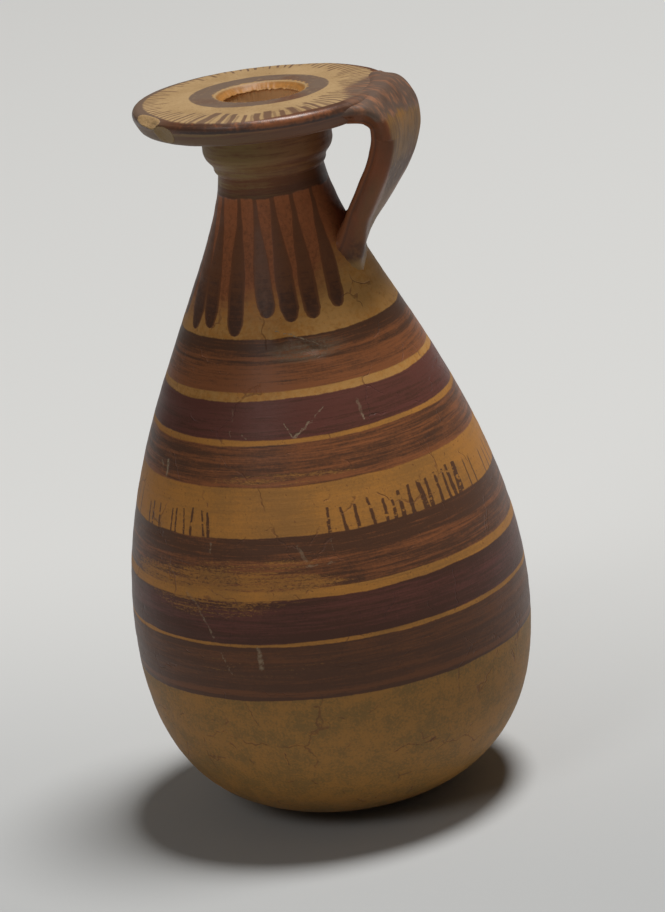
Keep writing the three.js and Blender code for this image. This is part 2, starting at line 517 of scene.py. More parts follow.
# How deep the old gouge is at a place: a crisp upper lip, fading out below
def gouge(turn, height):
    (firstTurn, firstHeight), (lastTurn, lastHeight) = gougeEdge[0], gougeEdge[-1]
    if not firstTurn < turn < lastTurn:
        return 0
    for (t0, h0), (t1, h1) in zip(gougeEdge, gougeEdge[1:]):
        if turn <= t1:
            below = mixed(h0, h1, (turn - t0) / (t1 - t0)) - height
            break
    ends = smooth(turn, firstTurn, firstTurn + 9) * smooth(turn, lastTurn, lastTurn - 8)
    return ends * smooth(below, -0.2, 0.35) * (1 - smooth(below, 0.4, body["gougeFade"]))


def sculptBody(bm):
    for vert in bm.verts:
        turn, radius, height = roundAbout(vert.co)
        if radius < pearRadius(height) - body["neckWall"] / 2 or height >= seatHeight - 0.1:
            continue
        around = Vector((vert.co.x / max(radius, 1), vert.co.y / max(radius, 1), 0))
        ridge = noise.noise(Vector((0, 0, height * 0.42)))
        ridge += 0.6 * noise.noise(around * 0.8 + Vector((0, 0, height)))
        lumps = noise.noise(vert.co * 0.055) + 0.3 * noise.noise(vert.co * 0.21)
        out = body["throwingRidge"] * ridge + body["handLumps"] * lumps
        rough = 0.55 + 0.6 * noise.noise(Vector((turn * 0.16, 0, height * 1.6)))
        out = out * smooth(height, 0.2, 6) - body["gougeDepth"] * rough * gouge(turn, height)
        vert.co += around * out


# Painted bands of the body: top, bottom, thin slip, thick slip
bands = {
    "shoulder_band": (90.8, 82.6, "rust", "dark"),
    "upper_wine_band": (81.3, 75.1, "wine", "wineDark"),
    "middle_band": (74.2, 67.4, "rust", "dark"),
    "belly_band": (59.2, 50.2, "rust", "dark"),
    "lower_wine_band": (48.6, 41.1, "wine", "wineDark"),
    "lowest_band": (40.5, 30.6, "brown", "dark"),
}
# How thick the slip lies at a height: streaks that run all the way round
slipThickness = (
    (30.4, 0.9), (31.2, 0.8), (31.6, -0.2), (32.0, 0.0), (32.5, 0.65), (34.5, 0.5), (36, 0.62),
    (38.5, 0.45), (41, 0.75), (44, 0.5), (46, 0.42), (48.6, 0.6), (53.5, 0.6), (54.6, 0.4), (55.6, 0.65),
    (59, 0.8), (67.5, 0.25), (68.6, 0.5), (71.3, 0.55), (71.9, 0.25), (72.6, 0.55), (75.2, 0.35),
    (78, 0.25), (82.6, 0.15), (85, 0.3), (86.7, 0.3), (87.3, 0.8), (87.9, 0.25), (88.7, 0.8), (91, 0.75),
)
# Tongues: turn and height of the tip, turn where it leaves the neck's paint, half width
tongues = (
    (-138.3, 91.6, -155, 2.1), (-125.5, 92.3, -137.5, 1.9), (-106.7, 91.4, -113, 1.6),
    (-87.9, 94.2, -95.0, 1.55), (-74.2, 93.2, -77.2, 1.65), (-61.7, 93.2, -57.5, 1.5),
    (-45.2, 94.1, -34, 1.55),
)
tongueTop = 113.3
neckEdge = 113.2  # lower edge of the neck's paint
dashFoot = 58.9  # where the dashes go under the belly band
bandSoftness = 0.12
# Heights from where to where a look comes in
fades = {
    "lowClay": (44, 30),
    "paleShoulder": (74, 80),
    "redWash": (91.0, 100.5),
    "strapFoot": (101.6, 99.4),
    "darkTips": (103, 93),
    "tongueSwell": (113.5, 98.5),
    "dashTaper": (65, 59.4),
    "neckShade": (115.8, 113.7),
    "thinCollar": (120.5, 114.6),
    "ringShade": (123.6, 125.4),
    "ringShadeEnd": (128.6, 127.8),
}
# Dashes that stand on the belly band: turn, height of the upper end, half width
dashes = (
    (-143, 62.6, 0.22), (-140, 63.0, 0.26), (-135.5, 63.2, 0.24), (-128, 63.0, 0.2), (-126, 63.2, 0.22),
    (-122.6, 63.4, 0.24), (-118.4, 63.8, 0.3), (-114.6, 63.5, 0.24), (-112.2, 63.3, 0.34),
    (-71, 63.4, 0.32), (-66.7, 63.1, 0.3), (-62.2, 63.2, 0.34), (-57.8, 63.8, 0.32), (-52.4, 63.0, 0.34),
    (-49.4, 62.4, 0.3), (-46.8, 63.6, 0.42), (-42.6, 64.0, 0.42), (-38.6, 64.2, 0.6), (-35.3, 64.2, 0.42),
    (-31, 64.4, 0.38), (-27.4, 64.3, 0.34), (-25.1, 64.7, 0.46), (-21.2, 64.6, 0.8),
)
# Scratches that show bare clay: turn and height of both ends, half width, strength
scratches = (
    (-82.5, 77.4, -79.4, 75.0, 0.16, 0.7), (-79.4, 75.0, -71.5, 77.5, 0.2, 0.75),
    (-71.5, 77.5, -66.4, 79.3, 0.12, 0.6), (-100.2, 76.4, -97.9, 75.4, 0.12, 0.5),
    (-104.9, 76.6, -104.4, 75.5, 0.12, 0.45), (-104.7, 80.0, -104.0, 78.1, 0.14, 0.3),
    (-134.9, 70.2, -134.6, 68.2, 0.4, 0.85), (-139.4, 69.8, -138, 69, 0.3, 0.6),
    (-51.9, 79.2, -51.8, 77.2, 0.3, 0.35), (-51.9, 77.0, -51.2, 76.2, 0.26, 0.75),
    (-110.4, 58.3, -110.4, 56.7, 0.2, 0.5), (-119.8, 49.5, -115.0, 47.0, 0.3, 0.35),
    (-115.0, 46.4, -110.5, 42.1, 0.26, 0.5), (-108.5, 39.2, -105.8, 35.4, 0.16, 0.4),
    (-96.3, 40.2, -96.2, 36.8, 0.5, 0.65), (-81.6, 57.6, -79.6, 54.9, 0.34, 0.4),
    (-79.7, 54.2, -71.0, 54.2, 0.2, 0.45), (-83.5, 92.1, -76.9, 91.4, 0.14, 1.0),
    (-76.9, 91.4, -58.0, 88.4, 0.15, 1.0), (-80, 90.2, -73, 89.3, 0.1, 0.5),
    (-72, 88.3, -60, 87.4, 0.1, 0.45), (-71.0, 57.9, -71.0, 56.1, 0.09, 0.5),
)
# Where the slip is rubbed off the bands: turn, height, half width, half height, strength
rubbedPatches = (
    (-109, 51.0, 33.0, 4.1, 1.0), (-95, 54.6, 19.0, 1.5, 0.72), (-112, 47.6, 21.0, 3.2, 0.72),
    (-100, 37.0, 28.0, 4.4, 0.48), (-84, 68.6, 20.0, 1.4, 0.75),
)
bruisePatch = (-70, 88.5, 8.5, 2.3)  # grey, below the gouge
smearPatch = (-9, 101.5, 4.6, 2.6)  # dark, beside the strap's foot
# Hairlines in the bare clay low on the belly: turn and height of both ends, half width
hairlines = (
    (-61.1, 17.9, -56.9, 18.9, 0.12), (-56.9, 18.9, -52.1, 18.1, 0.09), (-50.8, 18.1, -47.7, 18.6, 0.12),
    (-103.1, 30.1, -100.3, 26.1, 0.07), (-94.2, 20.2, -93.6, 17.7, 0.08), (-76.2, 26.6, -74.6, 26.5, 0.12),
    (-144.5, 22.5, -129, 25.8, 0.07), (-129, 25.8, -114.5, 26.3, 0.07), (-88.4, 14.3, -86.4, 12.9, 0.1),
    (-63.1, 3.6, -56.4, 4.1, 0.16),
)


# More tongues, from behind the strap round to the photographed side
def hiddenTongues():
    found, turn = [], 42.0
    while turn < 205:
        height, lean, half = random.uniform(91.2, 94.3), random.uniform(-6, 6), random.uniform(1.15, 1.4)
        found.append((turn, height, turn + lean, half))
        turn += random.uniform(14, 19)
    return tuple(found)


# Fine cracks here and there in the bare clay
def cracks(kit):
    bent = kit.vector("ADD", kit.place, kit.tinted(0.35, 46, 4.0))
    node = kit.add("TexVoronoi", feature="DISTANCE_TO_EDGE", Vector=bent, Scale=0.09)
    line = Wire(kit, node.outputs["Distance"]).step(0.018, 0.004)
    return line * kit.clouds(0.16, 4, 0.65, seed=47).step(0.5, 0.57)


# Clay of the body: olive and smudged low down, washed red between the tongues and round the strap's foot
def shoulderClay(kit):
    relief, grain, wiped = bareClay(kit, "buff", "buffDull")
    broad = kit.clouds(0.07, 2, 0.5, seed=13)
    ragged = kit.clouds(1.1, 3, 0.6, seed=14)
    pits = kit.spots(1.5, 0.26, 0.5, seed=42)

    smudged = kit.clouds((0.17, 0.17, 0.26), 6, 0.7, seed=44)
    rubbed = kit.clouds((0.9, 0.9, 0.16), 3, 0.6, seed=45)
    dull = (smudged + rubbed.sway(0.3) + grain.sway(0.7)).step(0.36, 0.66)
    lowClay = kit.mix(dull, "low", "lowDull")
    lowClay = kit.mix((ragged + grain * 0.5).step(0.98, 1.12) * 0.4, lowClay, "brown")
    kit.coat((kit.z + broad.sway(6)).step(*fades["lowClay"]) * 0.88, lowClay)
    kit.coat(kit.z.step(*fades["paleShoulder"]) * (ragged + broad).step(0.75, 1.1) * 0.6, "buffPale")

    tone = (ragged * 0.6 + grain * 0.5 + broad * 0.5).step(0.66, 1.0)
    washed = kit.mix(tone, "ground", "groundDark")
    wash = kit.z - kit.x.step(4, 13) * 6 + broad.sway(13) + ragged.sway(4) + wiped.sway(5)
    wash = wash.step(*fades["redWash"])
    kit.coat(wash * 0.95, kit.mix(pits * 0.6, washed, "dark"))
    cracked = cracks(kit) * (1 - wash)
    kit.coat(cracked * 0.55, "brown")
    return relief - pits * wash * 0.04 + rubbed * 0.012 - cracked * 0.05, grain, broad, ragged


# Thin slip of the neck, its collar and the disc's underside: olive to the left, redder to the right, with
# painted shade just under the disc's edge
def collarSlip(kit):
    streak = kit.clouds((0.05, 0.05, 1.2), 5, 0.66, seed=61)
    hairs = kit.clouds((0.16, 0.16, 2.8), 4, 0.65, seed=62)
    mottled = kit.clouds(0.8, 4, 0.65, seed=64)
    side = (kit.x + kit.clouds(0.1, 2, seed=63).sway(9)).step(-3, 12)
    lower = (kit.z + streak.sway(3)).step(*fades["thinCollar"])
    thin = kit.mix(side * 0.8, "olive", "rust")
    share = (streak * 1.1 + hairs * 0.7 + mottled * 0.25 + lower * 0.18 + side * 0.1).step(0.97, 1.3)
    colour = kit.mix(share, thin, kit.mix(lower * 0.7, "brown", "tongue"))
    # painted shade in the band under the disc's overhang
    under = kit.z.step(*fades["ringShade"]) * kit.z.step(*fades["ringShadeEnd"])
    colour = kit.mix(under * 0.62, colour, "dark")
    return colour, streak * 0.07 + hairs * 0.04 + mottled * 0.02


def paintBody():
    kit = Kit("banded_clay")
    relief, grain, broad, ragged = shoulderClay(kit)
    streak = kit.clouds((0.035, 0.035, 1.1), 6, 0.68, seed=11)
    hairs = kit.clouds((0.13, 0.13, 2.6), 5, 0.7, seed=12)

    # tongues of slip with a thin red rim
    rows = [
        (tip, height, (top - tip) / (tongueTop - height), half)
        for tip, height, top, half in tongues + hiddenTongues()
    ]
    swell = kit.z.step(*fades["tongueSwell"]) * 0.78 + 0.22
    sway = kit.clouds(0.16, 2, seed=15).sway(4)
    outside = strokes(kit, rows, 1, swell, sway) + ragged.sway(0.3)
    outside = kit.most(outside, kit.z - tongueTop - 1)
    rim = outside.step(0.16, -0.1)
    core = (outside + broad.sway(0.9) + ragged.sway(0.5)).step(-0.1, -0.55)
    kit.coat(rim * 0.9, "brown")
    thick = (ragged * 0.6 + hairs * 0.6 + kit.z.step(*fades["darkTips"]) * 0.25).step(0.58, 0.9)
    kit.coat(core, kit.mix(thick, "tongue", "dark"))
    painted = [rim]

    # dashes on the belly band, and fainter ones round the back
    rows = [(turn, height, random.uniform(-0.3, 0.15), half) for turn, height, half in dashes]
    taper = kit.z.step(*fades["dashTaper"]) * 0.35 + 0.68
    outside = strokes(kit, rows, -1, taper, kit.clouds(0.6, 2, seed=16).sway(1.0)) + ragged.sway(0.4)
    beads = kit.clouds((0.5, 0.5, 1.1), 2, 0.6, seed=19).step(0.36, 0.46)
    standing = kit.z.step(dashFoot, dashFoot + 0.3)
    dash = outside.step(0.1, -0.12) * standing * beads
    through, chance = kit.cells(kit.turn / 4.3 + kit.clouds(0.3, 2, seed=17).sway(0.3))
    middle = abs(through - 0.35 - chance[0] * 0.3)
    back = abs(kit.turn + 82).step(64, 66)
    faint = (middle + ragged.sway(0.1)).step(0.12, 0.05)
    faint = faint * kit.z.step(chance[1] * 1.8 + 63.2, chance[1] * 1.8 + 62.2)
    faint = faint * back * chance[2].step(0.2, 0.22) * standing * 0.8
    dashed = kit.most(dash * 0.92, faint)
    kit.coat(dashed, "dark")
    painted.append(dashed)

    # the bands, with brush streaks that let the red of thin slip through
    ramp = kit.add("ValToRGB")
    stops = ramp.color_ramp.elements
    for i, (height, amount) in enumerate(slipThickness):
        stop = stops[i] if i < 2 else stops.new(1.0)
        stop.position, stop.color = height / overallHeight, (amount, amount, amount, 1)
    drift = kit.clouds(0.03, 2, seed=18).sway(1.6)
    kit.fill(ramp.inputs[0], (kit.z + drift) / overallHeight)
    thickness = Wire(kit, ramp.outputs[0]) + streak.sway(1.5) + hairs.sway(1.8) + broad.sway(0.5)
    thick = (thickness + grain.sway(0.5) + ragged.sway(0.3)).step(0.1, 0.78)
    wear = bandWear(kit, hairs, grain)
    for number, (top, bottom, thin, full) in enumerate(bands.values()):
        upper = kit.clouds(0.05, 3, 0.6, seed=20 + number).sway(1.4) + ragged.sway(0.25)
        lower = kit.clouds(0.05, 3, 0.6, seed=30 + number).sway(1.0) + ragged.sway(0.2)
        inside = (kit.z + upper).step(top + bandSoftness, top - bandSoftness)
        inside = inside * (kit.z + lower).step(bottom - bandSoftness, bottom + bandSoftness) * (1 - wear)
        kit.coat(inside * 0.97, kit.mix(thick, thin, full))
        painted.append(inside)

    # the neck's slip, dark along its lower edge
    slip, slipRelief = collarSlip(kit)
    edge = kit.z + kit.clouds(0.17, 2, seed=40).sway(2.6) + ragged.sway(0.4)
    neck = edge.step(neckEdge, neckEdge + 0.4)
    slip = kit.mix((edge + hairs.sway(4)).step(*fades["neckShade"]) * 0.7, slip, "dark")
    kit.coat(neck, slip)
    painted = kit.most(*painted, neck)

    # scratches, gouge and hairlines
    jitter = kit.tinted(1.0, 43, 1.1)
    scraped = [kit.scratch(ends, half * 1.25, jitter) * strength for *ends, half, strength in scratches]
    scraped = kit.most(*scraped) * (ragged * 0.6 + grain * 0.7).step(0.5, 0.75)
    kit.coat(scraped, "scuffed")
    bruise = kit.patch(*bruisePatch, hairs) * (hairs + grain * 0.5).step(0.55, 0.9)
    kit.coat(bruise * 0.7, "grey")
    smeared = kit.patch(*smearPatch, ragged) * (hairs + ragged).step(0.7, 1.1)
    kit.coat(smeared * 0.75, "dark")
    lines = [kit.scratch(ends, half * 1.7, jitter) for *ends, half in hairlines]
    lines = kit.most(*lines) * ragged.step(0.3, 0.48)
    kit.coat(lines * 0.9, "brown")
    specks = kit.spots(4.6, 0.3, 0.35, seed=41) * painted
    kit.coat(specks * 0.6, "buffPale")

    roughness = 0.52 - painted * 0.1 + ragged.sway(0.16) + scraped * 0.2
    height = relief + painted * 0.015 + hairs * 0.03 + streak * 0.02 + neck * slipRelief * 0.5
    height = height - scraped * 0.05 - lines * 0.05 + bruise * ragged.sway(0.2)
    return kit.finish(roughness, height, 0.2)


# How far the slip is rubbed off the bands: in the patches, and a little all round
def bandWear(kit, hairs, grain):
    drawn = kit.clouds((0.12, 0.12, 1.5), 6, 0.72, seed=52)
    specks = kit.clouds((1.5, 1.5, 4.0), 4, 0.8, seed=53)
    anywhere = kit.clouds((0.05, 0.05, 0.3), 3, 0.6, seed=51).step(0.56, 0.8) * 0.5
    worn = kit.most(anywhere, *(kit.patch(*place, drawn) * strength for *place, strength in rubbedPatches))
    rubbed = drawn * 0.55 + specks * 0.6 + hairs * 0.35 + grain * 0.15
    return (rubbed + worn * 0.355).step(1.05, 1.21) * worn.step(0.02, 0.3) * 0.82


def paintInside():
    kit = Kit("bare_inside_clay")
    relief, grain, wiped = bareClay(kit, "buff", "rust")
    return kit.finish(0.62, relief + wiped * 0.05, 0.3)


def makeBody():
    rows, neck = body["innerRows"], [(body["waistRadius"], height) for height in (waistHeight, seatHeight)]
    inner = pearLine(body["floorThickness"], bellyRadius - body["bellyWall"], boreRadius, rows, rows)
    outline = (
        finely([(0, 0), (body["footRadius"], 0)], body["footStep"])
        + outerLine[1:]
        + finely(neck, body["neckStep"])[1:]
        + [(boreRadius, seatHeight)]
        + inner[::-1]
        + [(0, body["floorThickness"])]
    )
    bm = turned(outline, body["segments"])
    sculptBody(bm)
    for face in bm.faces:
        turn, radius, height = roundAbout(face.calc_center_median())
        inside = radius < pearRadius(height) - body["neckWall"] / 2 and height > body["floorThickness"] / 2
        face.material_index = int(inside)
    placed(bm, "thrown_body", "body", [bodyPaint, insideClay])


random.seed(7)
bodyPaint = paintBody()
insideClay = paintInside()
makeBody()

# The ring of clay under the disc, pressed on by hand
ring = {
    "toeWidth": 0.35,
    "toeShare": 0.17,
    "swellShare": 0.2,
    "fullShare": 0.5,
    "toeReach": 1.3,
    "seatIn": 0.3,
    "segments": 160,
    "step": 0.4,
    "pressed": 0.09,
}


def paintRing():
    kit = Kit("ring_slip")
    kit.colour, relief = collarSlip(kit)
    grain = kit.clouds(2.4, 3, 0.6, seed=2)
    return kit.finish(0.52 + grain.sway(0.2), relief + grain * 0.03, 0.2)


def makeRing():
    waist, reach, bottom, top = body["waistRadius"], ring["toeReach"], ringBottom, seatHeight + ring["seatIn"]
    inside, toe = waist - ring["seatIn"], waist + ring["toeWidth"] + 0.3
    toeUp, swell, full = (
        bottom + (seatHeight - bottom) * ring[share] for share in ("toeShare", "swellShare", "fullShare")
    )
    under, lean = (inside, bottom - reach), (waist + 0.02, bottom - reach * 0.9)
    outline = (
        bezierLine(under, lean, (toe, bottom - reach * 0.4), (toe, bottom), 10)
        + bezierLine((toe, bottom), (toe, toeUp), (ringRadius, swell), (ringRadius, full), 22)[1:]
        + [(ringRadius, top), (inside, top)]
    )
    bm = turned(finely(outline, ring["step"]), ring["segments"])
    for vert in bm.verts:
        turn, radius, height = roundAbout(vert.co)
        if radius > body["waistRadius"] + 0.05:
            around = Vector((vert.co.x, vert.co.y, 0)) / radius
            lumps = noise.noise(vert.co * 0.18) + 0.5 * noise.noise(Vector((0, 0, height * 1.1)))
            vert.co += around * ring["pressed"] * lumps
    placed(bm, "neck_collar", "neck_ring", [paintRing()])


makeRing()

# The mouth disc, which sits a little askew, with its front edge high
disc = {
    "edgeHeight": 3.1,
    "topSlope": 0.9,
    "edgeLean": 1.0,
    "edgeRound": 0.7,
    "crownWidth": 4.75,
    "mouthBevelWidth": 1.35,
    "mouthBevelDepth": 1.3,
    "lipOverhang": 0.2,
    "lipUndercut": 0.3,
    "edgeRaise": 0.6,
    "tilt": 0.027,
    "tiltTurn": -110.0,
    "seatIn": 0.1,
    "segments": 288,
    "step": 0.3,
    "handLumps": 0.1,
    "lipRag": 0.16,
}
# Flakes knocked off the rim: turn, distance from the axis, height and radius of the scoop, colour inside
chips = (
    (-138.0, 44.3, 149.5, 30.0, "discBuff"),
    (-133.5, 26.4, 131.6, 4.9, "discBuff"),
    (-125.0, 30.9, 125.0, 9.5, "olive"),
)
# Where its paint lies, by distance from the axis or by height. The strap's slip starts so far along X
discMarks = {
    "ring": (8.0, 12.3),
    "rim": 21.5,
    "crest": 22.2,
    "top": 128.2,
    "edge": 127.1,
    # height of the painted shadow line along the rim's side
    "shadowLine": 127.5,
    "strapSlip": 14.6,
}
tiltAlong = (math.cos(math.radians(disc["tiltTurn"])), math.sin(math.radians(disc["tiltTurn"])))
discEdgeTop = overallHeight - disc["topSlope"]
lipRadius = boreRadius - disc["lipOverhang"]
mouthRadius = lipRadius + disc["mouthBevelWidth"]
crownRadius = mouthRadius + disc["crownWidth"]


# The disc's outer line from under the ring over the edge to the crown
def discLine():
    edgeBottom = discEdgeTop - disc["edgeHeight"]
    under = (ringRadius, seatHeight)
    heel = (discRadius - disc["edgeLean"] - disc["edgeRound"] / 2, edgeBottom)
    rim = (discRadius, discEdgeTop - 2 * disc["edgeRound"])
    shoulder = (discRadius - disc["edgeRound"] / 4, discEdgeTop)
    crown = (crownRadius, overallHeight)
    return (
        [under]
        + rounded(under, heel, rim, 0.8)
        + rounded(heel, rim, shoulder, 0.3)
        + rounded(rim, shoulder, crown, 1.05, 8)
        + rounded(shoulder, crown, (0, overallHeight), 2.0)
    )


# How far the disc's top stands above a level one
def discLift(co):
    tilted = (co.x * tiltAlong[0] + co.y * tiltAlong[1]) * disc["tilt"]
    return tilted + disc["edgeRaise"] * smooth(math.hypot(co.x, co.y), crownRadius, discRadius - 2)


# Slip over the strap's root, with red streaks that run on to the disc
def rootSlip(kit):
    streak = kit.clouds((0.2, 1.0, 0.4), 5, 0.66, seed=76)
    broad = kit.clouds(0.12, 3, 0.55, seed=82)
    share = (streak * 0.9 + broad * 0.4).step(0.62, 0.84)
    colour = kit.mix(share, "rootDark", "rootRed")
    return kit.mix(broad.step(0.5, 0.7) * 0.5, colour, "dark"), streak


# Strokes brushed in from the rim: one to a cell of so many degrees, from a start radius outwards
def rimStrokes(kit, bend, ragged, cellSize, seed, halfWidth, start, spread):
    through, chance = kit.cells((kit.turn + bend) / cellSize, seed)
    away = abs(through - 0.4 - chance[0] * 0.2)
    away = away * kit.radius * math.radians(cellSize)
    half = (chance[1] * 0.7 + 0.65) * halfWidth
    inner = chance[2] * spread + start
    taper = (kit.radius + ragged.sway(0.8)).step(inner, inner + 0.9)
    return (away + ragged.sway(0.16)).step(half * 1.05, half * 0.6) * taper


def paintDisc():
    kit = Kit("disc_clay")
    relief, grain, wiped = bareClay(kit, "discBuff", "discDull")
    ragged = kit.clouds(1.1, 3, 0.6, seed=71)
    broad = kit.clouds(0.09, 2, 0.5, seed=72)
    shifted = kit.radius + broad.sway(0.8) + ragged.sway(0.25)
    lift = kit.x * (tiltAlong[0] * disc["tilt"]) + kit.y * (tiltAlong[1] * disc["tilt"])
    level = kit.z - lift - kit.radius.step(crownRadius, discRadius - 2) * disc["edgeRaise"]
    flat = level.step(discMarks["top"], discMarks["top"] + 0.6)

    # thick strokes in front, fine ones to the left, short ones along the far edge
    bend = kit.clouds(0.12, 2, seed=73).sway(7)
    front = abs(kit.turn + 76).step(44, 30)
    far = (kit.y - kit.x * 0.2).step(4, 11)
    thick = rimStrokes(kit, bend, ragged, cellSize=6.2, seed=0, halfWidth=0.62, start=14.4, spread=3.6)
    beside = kit.x.step(4, 12)
    start = 15.6 + far * 1.5 - beside * 2.6
    fine = rimStrokes(kit, bend * 0.4, ragged, cellSize=3.9, seed=40, halfWidth=0.25, start=start, spread=2.8)
    fine = fine * (1 - front * 0.5)
    marks = kit.most(thick * front, fine) * (ragged + broad * 0.5).step(0.36, 0.54) * flat
    kit.coat(marks * 0.92, kit.mix(broad, "faded", "brown"))

    # dark ring round the mouth, a little off centre, worn pale along its inner edge
    offCentre = kit.x * -0.035 + kit.y * 0.045
    inner, outer = discMarks["ring"]
    bandOuter = (shifted - offCentre).step(outer, outer - 0.35)
    bandInner = shifted.step(inner, inner + 0.3)
    worn = (ragged + grain * 0.6).step(0.85, 1.05) * 0.45
    ringed = bandOuter * bandInner * flat * (1 - worn)
    tone = kit.mix((wiped + broad + grain * 0.3).step(1.1, 1.6), "faded", "brown")
    kit.coat(ringed, tone)
    paleEdge = abs(shifted - inner - 0.3).step(0.3, 0.1) * ragged.step(0.48, 0.6) * flat
    kit.coat(paleEdge * 0.7, "buffPale")

    # painted rim, worn red along its crest in front, over a side that is thinly washed like the collar
    rimInner = discMarks["rim"]
    left = (kit.x + broad.sway(5)).step(-9, -17)
    rim = shifted + left * 1.3 + ragged.sway(0.3) + kit.x.step(2, 18) * 1.2
    rim = rim.step(rimInner, rimInner + 0.5)
    crest = abs(kit.radius - discMarks["crest"]).step(0.6, 0.15)
    crest = crest * front * (ragged + broad).step(0.88, 1.15)
    slip = kit.mix((broad + ragged * 0.4).step(0.55, 0.9), "dark", "brown")
    slip = kit.mix(crest, slip, "rust")
    slip = kit.mix(left * flat * 0.85, slip, "faded")
    rimEdge = level + ragged.sway(0.4) + broad.sway(0.5)
    side = kit.radius.step(20.6, 21.0) * rimEdge.step(discMarks["edge"], discMarks["edge"] + 0.25)
    outside = kit.most(rim * flat, side * level.step(128.9, 128.6))
    # painted shadow: a black line along the side in front, under the rim's paint
    shadowLine = side * abs(rimEdge - discMarks["shadowLine"]).step(0.35, 0.12) * front
    slip = kit.mix(shadowLine * 0.7, slip, "black")
    # the side and underside take the collar's slip, with its painted shade under the edge
    kit.coat(level.step(128.1, 127.9) * kit.radius.step(8.6, 9.4), collarSlip(kit)[0])
    kit.coat(outside, slip)

    # slip carried on from the strap
    slipOver, streak = rootSlip(kit)
    fromStrap = kit.x + abs(kit.y + 1) * -0.25 + ragged.sway(2.6) + streak.sway(7)
    strapSlip = fromStrap.step(discMarks["strapSlip"], discMarks["strapSlip"] + 1.8) * flat
    kit.coat(strapSlip * 0.92, slipOver)

    lip = (kit.radius + ragged.sway(0.3)).step(8.0, 7.6)
    kit.coat(lip, kit.mix((wiped + grain * 0.5).step(0.6, 0.95), "buff", "buffDull"))
    # painted light: the bore's bare clay is coloured lighter, for the light on its far wall
    bore = (kit.z + ragged.sway(0.5)).step(128.9, 128.2) * kit.radius.step(7.4, 7.2)
    kit.coat(bore * 0.9, "litBoreClay")

    # bare clay in the chips
    bare = 0.0
    for chip in chips:
        away = kit.vector("DISTANCE", kit.place, tuple(spotAt(*chip[:3])))
        inside = (away + ragged.sway(0.16)).step(chip[3] + 0.15, chip[3] + 0.07)
        deep = (level + ragged.sway(0.9)).step(128.0, 127.3)
        bareTone = kit.mix(grain * 0.35, chip[4], "buffDull")
        kit.coat(inside, kit.mix(deep * 0.8, bareTone, "olive"))
        bare = kit.most(bare, inside)
    painted = kit.most(outside, ringed, marks) * (1 - bare)
    height = relief + painted * 0.015 + kit.clouds(0.9, 4, 0.65, seed=75) * bare * 0.3
    return kit.finish(0.52 - painted * 0.16 + ragged.sway(0.12), height, 0.4)


def makeDisc():
    bottom = seatHeight - disc["seatIn"]
    lipHeight = overallHeight - disc["mouthBevelDepth"]
    mouth = (mouthRadius, overallHeight)
    lip = (lipRadius, lipHeight)
    outline = finely(
        [(boreRadius, bottom), (ringRadius - 0.1, bottom)]
        + discLine()
        + rounded((crownRadius, overallHeight), mouth, lip, 0.35)
        + rounded(mouth, lip, (boreRadius + 0.4, lipHeight - disc["lipUndercut"]), 0.2, 3)
        + [(boreRadius + 0.1, lipHeight - disc["lipUndercut"]), (boreRadius, bottom)],
        disc["step"],
    )
    bm = turned(outline, disc["segments"])
    for vert in bm.verts:
        turn, radius, height = roundAbout(vert.co)
        around = Vector((vert.co.x, vert.co.y, 0)) / radius
        away = smooth(radius, mouthRadius, crownRadius)
        lumps = noise.noise(vert.co * 0.12) + 0.4 * noise.noise(vert.co * 0.45)
        vert.co.z += disc["handLumps"] * lumps * away + discLift(vert.co) * smooth(height, 126.2, 128.3)
        vert.co += around * disc["handLumps"] * noise.noise(around * 2.3) * away
        nearLip = 1 - smooth(radius, lipRadius + 0.2, mouthRadius)
        nearLip *= smooth(height, bottom + 1, lipHeight - 0.8)
        if nearLip:
            rag = noise.noise(around * 9) + 0.6 * noise.noise(around * 22)
            vert.co += around * disc["lipRag"] * rag * nearLip
            vert.co.z += disc["lipRag"] * 1.3 * noise.noise(around * 14 + Vector((3, 0, 0))) * nearLip
        for chip in chips:
            centre = spotAt(*chip[:3])
            out = vert.co - centre
            reach = chip[3] + 0.12 * noise.noise(vert.co * 0.9)
            if out.length < reach:
                vert.co = centre + out.normalized() * reach
    placed(bm, "mouth_plate", "mouth_disc", [discPaint])


discPaint = paintDisc()
makeDisc()

# The strap handle, with the shape of its CAD solid and soft joins to the disc and the shoulder
strap = {
    "width": 17.0,
    "rootWidth": 24.0,
    "footWidth": 11.8,
    "thickness": 4.2,
    "footThickness": 6.0,
    "rootThickness": 3.2,
    "edgeRound": 1.35,
    "twist": 5.0,
    "footTwist": -12.0,
    "footTwistShares": (0.04, 0.3),
    "rootTwist": 2.0,
    "standOff": 0.6,
    "lap": 5.0,
    "rootDrop": 0.2,
    "drop": 26.7,
    "footSink": 3.5,
    "footShare": 0.3,
    "drawnShare": 0.5,
    "twistedShare": 0.6,
    "rootShare": 0.78,
    "bendShare": 0.72,
    "stations": 150,
    "cornerSteps": 6,
    "faceSteps": 14,
    "sideSteps": 9,
    "tipThickness": 2.2,
    "tipShare": 0.86,
    "footJoin": 0.9,
    "footFlare": 1.5,
    "cover": 0.3,
    "nearJoin": 4.6,
    "farJoin": 1.7,
    "nearDip": 1.2,
    "farDip": 2.7,
    "tipDip": 0.5,
    "grooveDepth": 0.25,
    "grooveIn": 1.15,
    "grooveHalf": 0.34,
    "grooveShares": (0.15, 0.35),
    "handLumps": 0.14,
}
# The strap's centre line, as shares of its reach and of its rise, from foot to root
strapLineShares = ((0, 0), (0.43, 0.286), (0.72, 0.486), (0.91, 0.65), (1, 0.81), (0.97, 0.92), (0.83, 0.99))


def strapPoints():
    rootHeight = discEdgeTop - strap["rootDrop"] - strap["rootThickness"] / 2
    footHeight = rootHeight - strap["drop"]
    footIn = pearRadius(footHeight) - strap["footSink"]
    points = [
        Vector((mixed(footIn, discRadius + strap["standOff"], out), 0, mixed(footHeight, rootHeight, up)))
        for out, up in strapLineShares
    ]
    return points + [Vector((discRadius - strap["lap"], 0, rootHeight))]


